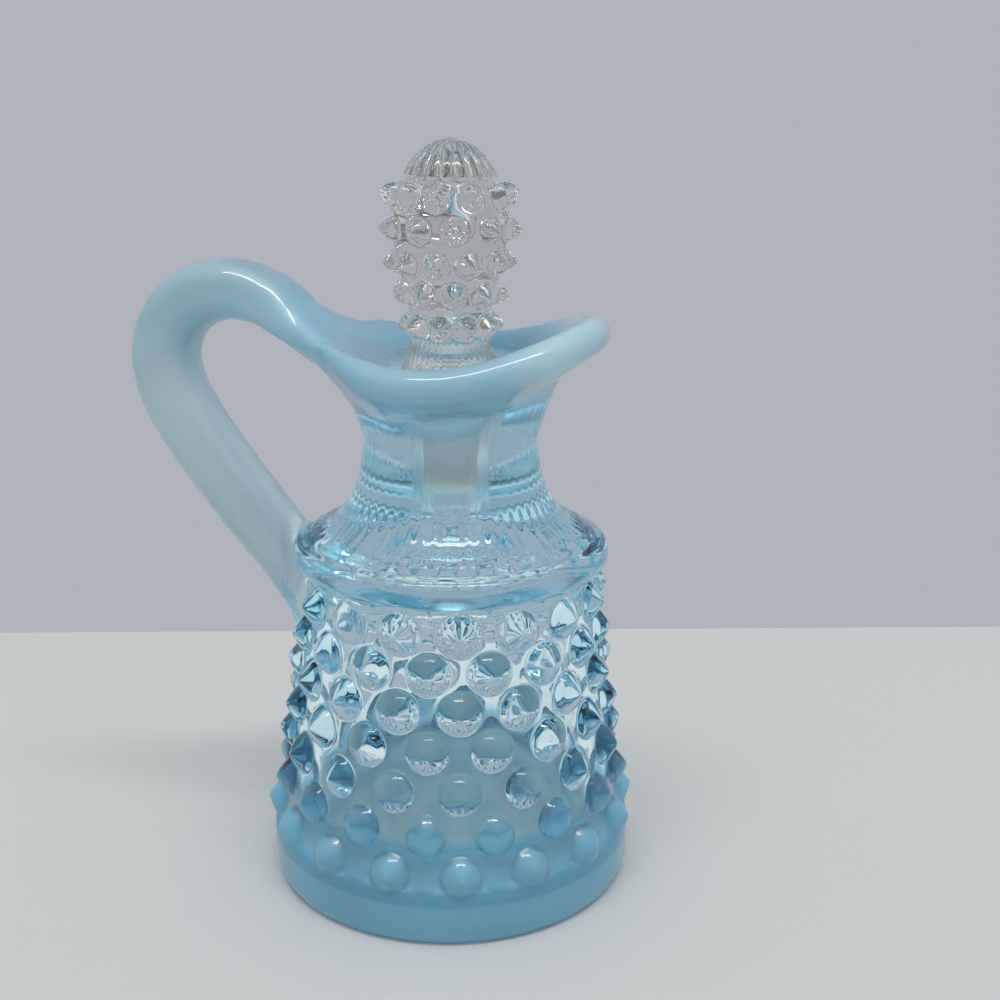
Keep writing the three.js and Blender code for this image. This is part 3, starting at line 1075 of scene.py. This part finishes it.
@dataclass
class Stopper:
    """The clear stopper: ribbed cap, knob with its hobs, ribbed skirt and ground shank.

    Attributes:
        seat: The height of the skirt's lower edge.
        knob: Radii and heights of the knob without its hobs.
        field_top: Where the cap starts.
        field_bottom: Where the skirt starts.
        cap_columns: Steps round the cap.
        cap_ribs: How many ribs the cap has.
        cap_lift: How far they stand out.
        skirt_columns: Steps round the skirt.
        skirt_ribs: How many ribs the skirt has.
        skirt_lift: The height of the round that each of them is part of.
        shank_columns: Steps round the shank.
        shank_bottom: The height of the shank's end.
        ground_top: The height up to which the shank is ground.
        ground_fade: The height over which that fades out.
    """

    seat: float = 84.13
    knob: list[Point] = field(default_factory=lambda: [
        (6.15, 90.4), (6.2, 92.0), (6.5, 95.2), (7.15, 97.7), (8.3, 102.4), (9.15, 107.0),
        (9.2, 109.6), (8.5, 112.6), (7.1, 114.6)])
    field_top: float = 114.6
    field_bottom: float = 90.4
    cap_columns: int = 200
    cap_ribs: int = 20
    cap_lift: float = 0.3
    skirt_columns: int = 240
    skirt_ribs: int = 40
    skirt_lift: float = 0.24
    shank_columns: int = 96
    shank_bottom: float = 65.2
    ground_top: float = 82.2
    ground_fade: float = 1.4

    def knob_hobs(self) -> BMesh:
        """Builds the knob's wall with its hobs.

        Returns:
            An open skin.
        """
        return HobField(
            heights=[112.3, 107.5, 102.4, 97.7, 92.6], per_row=10, turn=0.0,
            wall=through(self.knob), radius=1.95, height=2.25, tip=0.5, shoulder=0.2, fillet=0.12,
            top=self.field_top, bottom=self.field_bottom, top_steps=20, bottom_steps=24,
            slant_steps=4, side_steps=3, apron=1,
            rings=(1.06, 0.96, 0.8, 0.58, 0.36, 0.18, 0.07)).build()

    def cap(self) -> BMesh:
        """Builds the ribbed cap.

        Returns:
            An open skin.
        """
        outline = [self.knob[-1], (7.0, 114.8)]
        outline += curve((7.0, 114.8), (6.9, 115.7), (6.45, 116.6), (5.8, 117.4), 8)[1:]
        outline += curve((5.8, 117.4), (5.0, 118.35), (4.0, 119.15), (3.0, 119.75), 8)[1:]
        outline += curve((3.0, 119.75), (1.9, 120.35), (1.0, 120.85), (0.0, 121.0), 8)[1:]
        return Turning(measured(outline), self.cap_columns).build(self.ribbed_cap)

    def ribbed_cap(self, place: Vector, row: ProfileRow, way: Point) -> Vector:
        """Raises the cap's ribs, which end in rounded petals.

        Args:
            place: A point of the turned skin.
            row: The outline's row that it belongs to.
            way: The outward direction there, as radius and height.

        Returns:
            The point's final place.
        """
        azimuth = azimuth_of(place)
        beside = off_middle(azimuth, self.cap_ribs)
        crown = math.sqrt(1 - beside * beside)
        radius = math.hypot(place.x, place.y)
        ahead = row.run - math.pi * radius / self.cap_ribs * (1 - crown)
        bare = 1.2
        lift = self.cap_lift * crown * smooth(ahead / 0.5) * smooth((radius - bare) / 1.6)
        return around(radius + way[0] * lift, azimuth, place.z + way[1] * lift)

    def skirt(self) -> BMesh:
        """Builds the ribbed skirt.

        Returns:
            An open skin.
        """
        outline = curve(self.knob[0], (6.5, 88.6), (7.3, 86.9), (7.65, 85.5), 14)
        outline += [(7.85, 85.1), (8.1, 84.75), (8.2, 84.45), (8.15, self.seat + 0.08)]
        outline += [(7.95, self.seat), (7.0, self.seat), (6.0, self.seat - 0.02), (5.3, self.seat - 0.1)]
        return Turning(measured(outline), self.skirt_columns).build(self.ribbed_skirt)

    def ribbed_skirt(self, place: Vector, row: ProfileRow, way: Point) -> Vector:
        """Raises the skirt's fine ribs.

        Args:
            place: A point of the turned skin.
            row: The outline's row that it belongs to.
            way: The outward direction there, as radius and height.

        Returns:
            The point's final place.
        """
        azimuth = azimuth_of(place)
        beside = off_middle(azimuth, self.skirt_ribs)
        first, last = 0.2, 5.2
        ends = smooth((row.run - first) / 0.6) * (1 - smooth((row.run - last) / 0.5))
        lift = self.skirt_lift * (math.sqrt(1 - beside * beside) - 0.5) * ends
        radius = math.hypot(place.x, place.y)
        return around(radius + way[0] * lift, azimuth, place.z + way[1] * lift)

    def shank(self) -> BMesh:
        """Builds the ground shank.

        Returns:
            An open skin.
        """
        top_radius, top, taper, steps = 4.95, 82.0, 0.0555, 16
        outline = [(5.02, 83.75), (4.98, 83.1), (top_radius, top)]
        for i in range(1, steps + 1):
            down = (top - self.shank_bottom - 0.9) * i / steps
            outline.append((top_radius - down * taper, top - down))
        edge, low = outline[-1][0], self.shank_bottom
        outline += [(edge - 0.06, low + 0.55), (edge - 0.22, low + 0.25), (edge - 0.5, low + 0.05)]
        outline += [(r, low) for r in (edge - 0.9, 2.2, 1.1, 0.0)]
        return Turning([ProfileRow(*point) for point in outline], self.shank_columns).build()

    def build(self) -> bpy.types.Object:
        """Builds and dresses the stopper.

        Returns:
            The stopper's object.
        """
        whole = weld_skins((self.knob_hobs(), self.cap(), self.skirt(), self.shank()))
        stopper = new_object(solid_mesh(whole, "clear_stopper"))
        self.dress(stopper)
        return stopper

    def dress(self, stopper: bpy.types.Object) -> None:
        """Gives the stopper its glass, ground on the shank."""
        mark_points(stopper.data, "ground", self.ground_shank)
        stopper.data.materials.append(ClearGlass().material())

    def ground_shank(self, place: Vector, way: Vector) -> float:
        """Returns 1 on the shank, which is ground to fit the jug, and 0 above it."""
        return 1 - smooth((place.z - self.ground_top) / self.ground_fade)


class Graph:
    """Adds and joins the nodes of one material or of the world."""

    def __init__(self, owner: bpy.types.Material | bpy.types.World) -> None:
        """Starts with no nodes.

        Args:
            owner: The material or world.
        """
        owner.use_nodes = True
        self.tree = owner.node_tree
        self.tree.nodes.clear()

    def add(self, kind: str, settings: dict[str, object] | None = None, **inputs: object) -> bpy.types.Node:
        """Adds a node.

        Args:
            kind: Its type without the leading ShaderNode.
            settings: Its properties.
            **inputs: Values or sockets for its inputs. An underscore stands for a space, and
                in_0 and so on for an input by its place.

        Returns:
            The node.
        """
        node = self.tree.nodes.new("ShaderNode" + kind)
        for name, value in (settings or {}).items():
            setattr(node, name, value)
        for name, value in inputs.items():
            key = int(name[3:]) if name.startswith("in_") else name.replace("_", " ")
            socket = node.inputs[key]
            if isinstance(value, bpy.types.NodeSocket):
                self.tree.links.new(value, socket)
            else:
                socket.default_value = value
        return node

    def math(self, operation: str, one: object, other: object = 0.5) -> bpy.types.NodeSocket:
        """Returns the result of a sum of two values."""
        return self.add("Math", {"operation": operation}, in_0=one, in_1=other).outputs[0]

    def ramp(self, value: object, low: float, high: float) -> bpy.types.NodeSocket:
        """Returns an even rise from 0 at low to 1 at high."""
        settings = {"interpolation_type": "SMOOTHSTEP"}
        return self.add("MapRange", settings, Value=value, From_Min=low, From_Max=high).outputs[0]

    def blend(self, factor: object, one: object, other: object) -> bpy.types.NodeSocket:
        """Returns a mix of two colours."""
        return self.add("Mix", {"data_type": "RGBA"}, in_0=factor, in_6=one, in_7=other).outputs[2]

    def between(self, factor: object, one: object, other: object) -> bpy.types.NodeSocket:
        """Returns a mix of two numbers."""
        return self.add("Mix", {"data_type": "FLOAT"}, in_0=factor, in_2=one, in_3=other).outputs[0]

    def noise(self, place: object, scale: float, detail: float) -> bpy.types.NodeSocket:
        """Returns a cloudy pattern from 0 to 1."""
        return self.add("TexNoise", Vector=place, Scale=scale, Detail=detail).outputs[0]

    def mark(self, name: str) -> bpy.types.NodeSocket:
        """Returns the value that a mesh holds under a name."""
        return self.add("Attribute", {"attribute_name": name}).outputs["Fac"]

    def finish(self, shader: bpy.types.Node, tint: object, density: float) -> None:
        """Makes a shader the surface of glass that tints light through its thickness."""
        depth = self.add("VolumeAbsorption", Color=tint, Density=density)
        self.add("OutputMaterial", Surface=shader.outputs[0], Volume=depth.outputs[0])


Colour = tuple[float, float, float, float]


@dataclass(frozen=True)
class OpalBlueGlass:
    """Pale blue pressed glass that turns milky where it cooled and was heated again.

    Attributes:
        clear: The colour of the clear glass's surface.
        milk: The colour of the milky glass of the handle's top.
        milk_lip: Its colour in the lip.
        milk_spout: Its colour in the spout.
        milk_leg: Its colour in the handle's leg.
        milk_inner: Its colour on the floor and low wall of the inside.
        milk_low: Its colour in the foot and the low hobs.
        milk_band_painted_shade: Its colour in the band over the foot's edge, painted darker and bluer there
            as shade.
        tint: The colour that light keeps through the thickness.
        density: How strongly the thickness tints it.
        opacity: How opaque the milkiest glass is.
        gloss: How rough the clear glass is.
        milk_roughness: How rough the milkiest glass is under its gloss.
        ground: How rough the ground bore is.
        waviness: The depth of the surface's pressed waviness, in metres.
    """

    clear: Colour = (0.97, 0.995, 1.0, 1.0)
    milk: Colour = (0.375, 0.585, 0.66, 1.0)
    milk_lip: Colour = (0.31, 0.57, 0.7, 1.0)
    milk_spout: Colour = (0.52, 0.72, 0.79, 1.0)
    milk_leg: Colour = (0.62, 0.73, 0.765, 1.0)
    milk_inner: Colour = (0.37, 0.6, 0.68, 1.0)
    milk_low: Colour = (0.19, 0.58, 0.82, 1.0)
    milk_band_painted_shade: Colour = (0.1, 0.45, 0.7, 1.0)
    tint: Colour = (0.17, 0.79, 0.95, 1.0)
    density: float = 18.5
    opacity: float = 0.57
    gloss: float = 0.012
    milk_roughness: float = 0.78
    ground: float = 0.3
    waviness: float = 0.00006

    def milky(self, g: Graph, place: bpy.types.NodeSocket) -> bpy.types.NodeSocket:
        """Returns the colour of the milky glass at a place.

        Args:
            g: The material's nodes.
            place: The place, in metres.

        Returns:
            The colour, picked by height, by distance from the axis and by the side of the spout, with
            painted shade in the band over the foot's edge.
        """
        towards, _, height = g.add("SeparateXYZ", Vector=place).outputs
        flat = g.add("VectorMath", {"operation": "MULTIPLY"}, in_0=place, in_1=(1.0, 1.0, 0.0)).outputs[0]
        radius = g.add("VectorMath", {"operation": "LENGTH"}, in_0=flat).outputs[1]
        # Painted shade: the band over the foot's edge gets a darker, bluer milk than the foot below it.
        in_shaded_band = g.math("MULTIPLY", g.ramp(height, 0.0064, 0.0074), g.ramp(height, 0.0098, 0.0088))
        outside = g.blend(in_shaded_band, self.milk_low, self.milk_band_painted_shade)
        low = g.blend(g.ramp(radius, 0.0255, 0.027), self.milk_inner, outside)
        lip = g.blend(g.ramp(towards, 0.01, 0.02), self.milk_lip, self.milk_spout)
        handle = g.blend(g.ramp(height, 0.078, 0.094), self.milk_leg, self.milk)
        on_lip = g.math("MULTIPLY", g.ramp(radius, 0.03, 0.022), g.ramp(height, 0.076, 0.083))
        return g.blend(g.ramp(height, 0.02, 0.04), low, g.blend(on_lip, handle, lip))

    def material(self) -> bpy.types.Material:
        """Makes the finish.

        Returns:
            The material.
        """
        made = bpy.data.materials.new("opal_blue_glass")
        g = Graph(made)
        place = g.add("TexCoord").outputs["Object"]
        milk = g.mark("milk")
        wisps = g.add("TexNoise", Vector=place, Scale=70.0, Detail=3.0, Roughness=0.55).outputs[0]
        uneven = g.math("MULTIPLY", milk, g.between(wisps, 0.75, 1.2))
        ground = g.math("MULTIPLY", g.mark("ground"), self.ground)
        waves = g.noise(place, 160.0, 2.0)
        shader = g.add(
            "BsdfPrincipled",
            Base_Color=g.blend(g.ramp(uneven, 0.0, 0.3), self.clear, self.milky(g, place)),
            Roughness=g.math("MAXIMUM", g.between(uneven, self.gloss, self.milk_roughness), ground),
            Transmission_Weight=g.math("SUBTRACT", 1.0, g.math("MULTIPLY", uneven, self.opacity)),
            Coat_Weight=g.ramp(milk, 0.05, 0.4),
            Coat_Roughness=0.01,
            IOR=1.5,
            Normal=g.add("Bump", Strength=0.35, Distance=self.waviness, Height=waves).outputs[0])
        g.finish(shader, self.tint, self.density)
        return made


@dataclass(frozen=True)
class ClearGlass:
    """Colourless pressed glass with a ground shank.

    Attributes:
        clear: The colour of the clear glass's surface.
        end_colour: The colour of the shank's whitened end.
        end_top: The height up to which the end is white, in metres.
        tint: The colour that light keeps through the thickness.
        density: How strongly the thickness tints it.
        ground: How rough the ground shank is.
    """

    clear: Colour = (0.98, 0.99, 0.99, 1.0)
    end_colour: Colour = (0.95, 0.95, 0.93, 1.0)
    end_top: float = 0.0679
    tint: Colour = (0.62, 0.56, 0.5, 1.0)
    density: float = 23.0
    ground: float = 0.4

    def material(self) -> bpy.types.Material:
        """Makes the finish.

        Returns:
            The material.
        """
        made = bpy.data.materials.new("clear_glass")
        g = Graph(made)
        place = g.add("TexCoord").outputs["Object"]
        ground = g.mark("ground")
        height = g.add("SeparateXYZ", Vector=place).outputs[2]
        grain = g.noise(place, 900.0, 3.0)
        ragged = g.math("ADD", height, g.math("MULTIPLY", grain, 0.0006))
        end = g.ramp(ragged, self.end_top, self.end_top - 0.001)
        roughened = g.math("MULTIPLY", ground, 0.5)
        shader = g.add(
            "BsdfPrincipled",
            Base_Color=g.blend(end, self.clear, self.end_colour),
            Roughness=g.math("ADD", g.math("MULTIPLY", ground, self.ground), 0.008),
            Transmission_Weight=g.between(end, 1.0, 0.05),
            IOR=1.52,
            Normal=g.add("Bump", Strength=roughened, Distance=0.00004, Height=grain).outputs[0])
        g.finish(shader, self.tint, self.density)
        return made


@dataclass
class Viewpoint:
    """The camera, in front of the jug, a little to its right and above it.

    Attributes:
        azimuth: Its direction from the jug, in degrees from -Y towards +X.
        distance: Its level distance from the jug's axis, in metres.
        height: Its height, in metres.
        pan: Its turn about the upright, in degrees.
        tilt: Its turn up from looking straight down, in degrees.
        roll: Its turn about its own line of sight, in degrees.
        lens: Its focal length, in millimetres.
    """

    azimuth: float = 14.0
    distance: float = 0.217
    height: float = 0.126
    pan: float = 11.88
    tilt: float = 73.95
    roll: float = 0.43
    lens: float = 49.68

    def build(self) -> bpy.types.Object:
        """Places the camera and makes it the scene's own.

        Returns:
            The camera.
        """
        data = bpy.data.cameras.new("camera")
        data.lens = self.lens
        data.sensor_width = 36.0
        data.clip_start = 0.01
        camera = bpy.data.objects.new("camera", data)
        bpy.context.scene.collection.objects.link(camera)
        place = around(self.distance, math.radians(self.azimuth), self.height)
        pose = Matrix.Translation(place)
        for degrees, axis in ((self.pan, "Z"), (self.tilt, "X"), (self.roll, "Z")):
            pose = pose @ Matrix.Rotation(math.radians(degrees), 4, axis)
        camera.matrix_world = pose
        bpy.context.scene.camera = camera
        return camera


@dataclass
class Studio:
    """The pale table, the wall behind it, the room's soft light and two long lamps in one place.

    Attributes:
        azimuth: The direction that the wall faces, in degrees from -Y towards +X.
        wall_behind: The wall's distance behind the jug's axis, in metres.
        lilac: The wall's colour.
        table: The table's colour.
        table_patches: The colour of its paler patches.
        near_side: The colour of the room's near side in the glass.
        ceiling: The colour of its ceiling there.
        room: The level of the room's soft light.
        room_in_glass: Its level inside the glass, where no lamp's light is traced.
        lamp_length: The lamps' length, in metres.
        lamp_breadth: Their breadth.
        lamp_before: How far before the jug's axis they hang.
        lamp_height: How high they hang.
        lamp_aim: The height on the jug's axis that they shine at.
        lamp_colour: Their colour.
    """

    azimuth: float = 14.0
    wall_behind: float = 0.104
    lilac: Colour = (0.434, 0.451, 0.503, 1.0)
    table: Colour = (0.53, 0.55, 0.555, 1.0)
    table_patches: Colour = (0.56, 0.56, 0.56, 1.0)
    near_side: Colour = (0.2, 0.21, 0.225, 1.0)
    ceiling: Colour = (0.62, 0.63, 0.65, 1.0)
    room: float = 0.8
    room_in_glass: float = 1.25
    lamp_length: float = 1.0
    lamp_breadth: float = 0.14
    lamp_before: float = 0.34
    lamp_height: float = 1.2
    lamp_aim: float = 0.06
    lamp_colour: tuple[float, float, float] = (1.0, 0.98, 0.95)

    @property
    def front(self) -> float:
        """The wall's direction in radians."""
        return math.radians(self.azimuth)

    @property
    def along(self) -> Vector:
        """The level direction along the wall."""
        return Vector((math.cos(self.front), math.sin(self.front), 0.0))

    def plane(self, name: str, corners: Iterable[Vector]) -> bpy.types.Object:
        """Builds a flat stage piece.

        Args:
            name: Its name.
            corners: Its four corners.

        Returns:
            The piece.
        """
        bm = bmesh.new()
        made = bmesh.ops.create_grid(bm, x_segments=1, y_segments=1, size=1.0)
        face = made["verts"][0].link_faces[0]
        for vert, corner in zip(face.verts, corners):
            vert.co = corner
        mesh = bpy.data.meshes.new(name)
        bm.to_mesh(mesh)
        bm.free()
        piece = new_object(mesh)
        return piece

    def floor(self) -> None:
        """Builds the table's top."""
        reach = 3.0
        corners = [Vector((x * reach, y * reach, 0.0)) for x, y in ((-1, -1), (1, -1), (1, 1), (-1, 1))]
        piece = self.plane("table_top", corners)
        made = bpy.data.materials.new("table")
        g = Graph(made)
        place = g.add("TexCoord").outputs["Object"]
        cloud = g.noise(place, 9.0, 2.0)
        shade = g.blend(g.math("MULTIPLY", cloud, 0.25), self.table, self.table_patches)
        shader = g.add("BsdfPrincipled", Base_Color=shade, Roughness=0.6)
        g.add("OutputMaterial", Surface=shader.outputs[0])
        piece.data.materials.append(made)

    def wall(self) -> None:
        """Builds the wall, which only the camera and the glass see, and only from the front."""
        size = 3.0
        foot = -around(self.wall_behind, self.front, 0.0)
        up = Vector((0.0, 0.0, size))
        left, right = foot - self.along * size, foot + self.along * size
        piece = self.plane("wall", (left, right, right + up, left + up))
        made = bpy.data.materials.new("wall")
        g = Graph(made)
        light = g.add("LightPath").outputs
        in_glass = g.math("MAXIMUM", light["Is Glossy Ray"], light["Is Transmission Ray"])
        seen = g.math("MAXIMUM", light["Is Camera Ray"], in_glass)
        front = g.math("SUBTRACT", 1.0, g.add("NewGeometry").outputs["Backfacing"])
        glow = g.add("Emission", Color=self.lilac, Strength=1.0).outputs[0]
        clear = g.add("BsdfTransparent").outputs[0]
        mix = g.add("MixShader", in_0=g.math("MULTIPLY", seen, front), in_1=clear, in_2=glow)
        g.add("OutputMaterial", Surface=mix.outputs[0])
        piece.data.materials.append(made)

    def lamp(self, name: str, watts: float) -> bpy.types.Object:
        """Hangs one long lamp, level with the wall, that shines at the jug.

        Args:
            name: Its name.
            watts: Its power.

        Returns:
            The lamp.
        """
        data = bpy.data.lights.new(name, "AREA")
        data.shape = "RECTANGLE"
        data.size = self.lamp_length
        data.size_y = self.lamp_breadth
        data.energy = watts
        data.color = self.lamp_colour
        lamp = bpy.data.objects.new(name, data)
        bpy.context.scene.collection.objects.link(lamp)
        place = around(self.lamp_before, self.front, self.lamp_height)
        away = place - Vector((0.0, 0.0, self.lamp_aim))
        across = away.cross(self.along).normalized()
        level = across.cross(away).normalized()
        axes = Matrix((level, across, away.normalized())).transposed()
        lamp.matrix_world = Matrix.Translation(place) @ axes.to_4x4()
        return lamp

    def room_light(self) -> None:
        """Sets the light of the room, with its brighter ceiling and darker near side."""
        world = bpy.data.worlds.new("room")
        g = Graph(world)
        light = g.add("LightPath").outputs
        way = g.add("TexCoord").outputs["Generated"]
        back = -around(1.0, self.front, 0.0)
        behind = g.add("VectorMath", {"operation": "DOT_PRODUCT"}, in_0=way, in_1=back).outputs[1]
        up = g.add("SeparateXYZ", Vector=way).outputs[2]
        sides = g.blend(g.ramp(behind, -0.5, 0.4), self.near_side, self.lilac)
        seen = g.blend(g.ramp(up, 0.35, 0.95), sides, self.ceiling)
        through_glass = g.math("GREATER_THAN", light["Transmission Depth"], 0.5)
        even = g.between(through_glass, self.room, self.room_in_glass)
        soft = g.blend(g.math("GREATER_THAN", light["Diffuse Depth"], 0.5), seen, even)
        colour = g.blend(light["Is Camera Ray"], soft, self.lilac)
        shader = g.add("Background", Color=colour, Strength=1.0)
        g.add("OutputWorld", Surface=shader.outputs[0])
        bpy.context.scene.world = world

    def build(self) -> None:
        """Builds the stage and its light."""
        self.floor()
        self.wall()
        self.room_light()
        self.lamp("long_lamp", watts=5.0)
        glint = self.lamp("lamp_glint", watts=30.0)
        glint.visible_diffuse = False


def to_metres(piece: bpy.types.Object) -> None:
    """Brings a piece's mesh from millimetres to metres."""
    piece.data.transform(Matrix.Scale(METRES, 4))
    piece.data.update()


def main() -> None:
    """Builds the cruet on its table."""
    logging.basicConfig(level=logging.INFO, format="%(name)s: %(message)s")
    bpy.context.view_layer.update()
    Viewpoint().build()
    scene = bpy.context.scene
    scene.view_settings.view_transform = "Standard"
    scene.cycles.max_bounces = 32
    scene.cycles.transmission_bounces = 32
    scene.cycles.glossy_bounces = 16
    scene.cycles.transparent_max_bounces = 16
    Studio().build()
    jug = Jug().build()
    stopper = Stopper().build()
    for piece in (jug, stopper):
        to_metres(piece)
    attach(jug, Body.JUG.value)
    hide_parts("vessel", "handle")
    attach(stopper, Body.STOPPER.value)
    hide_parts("stopper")
    for piece in (jug, stopper):
        LOG.info("%s: %d faces", piece.name, len(piece.data.polygons))


if __name__ == "__main__":
    main()
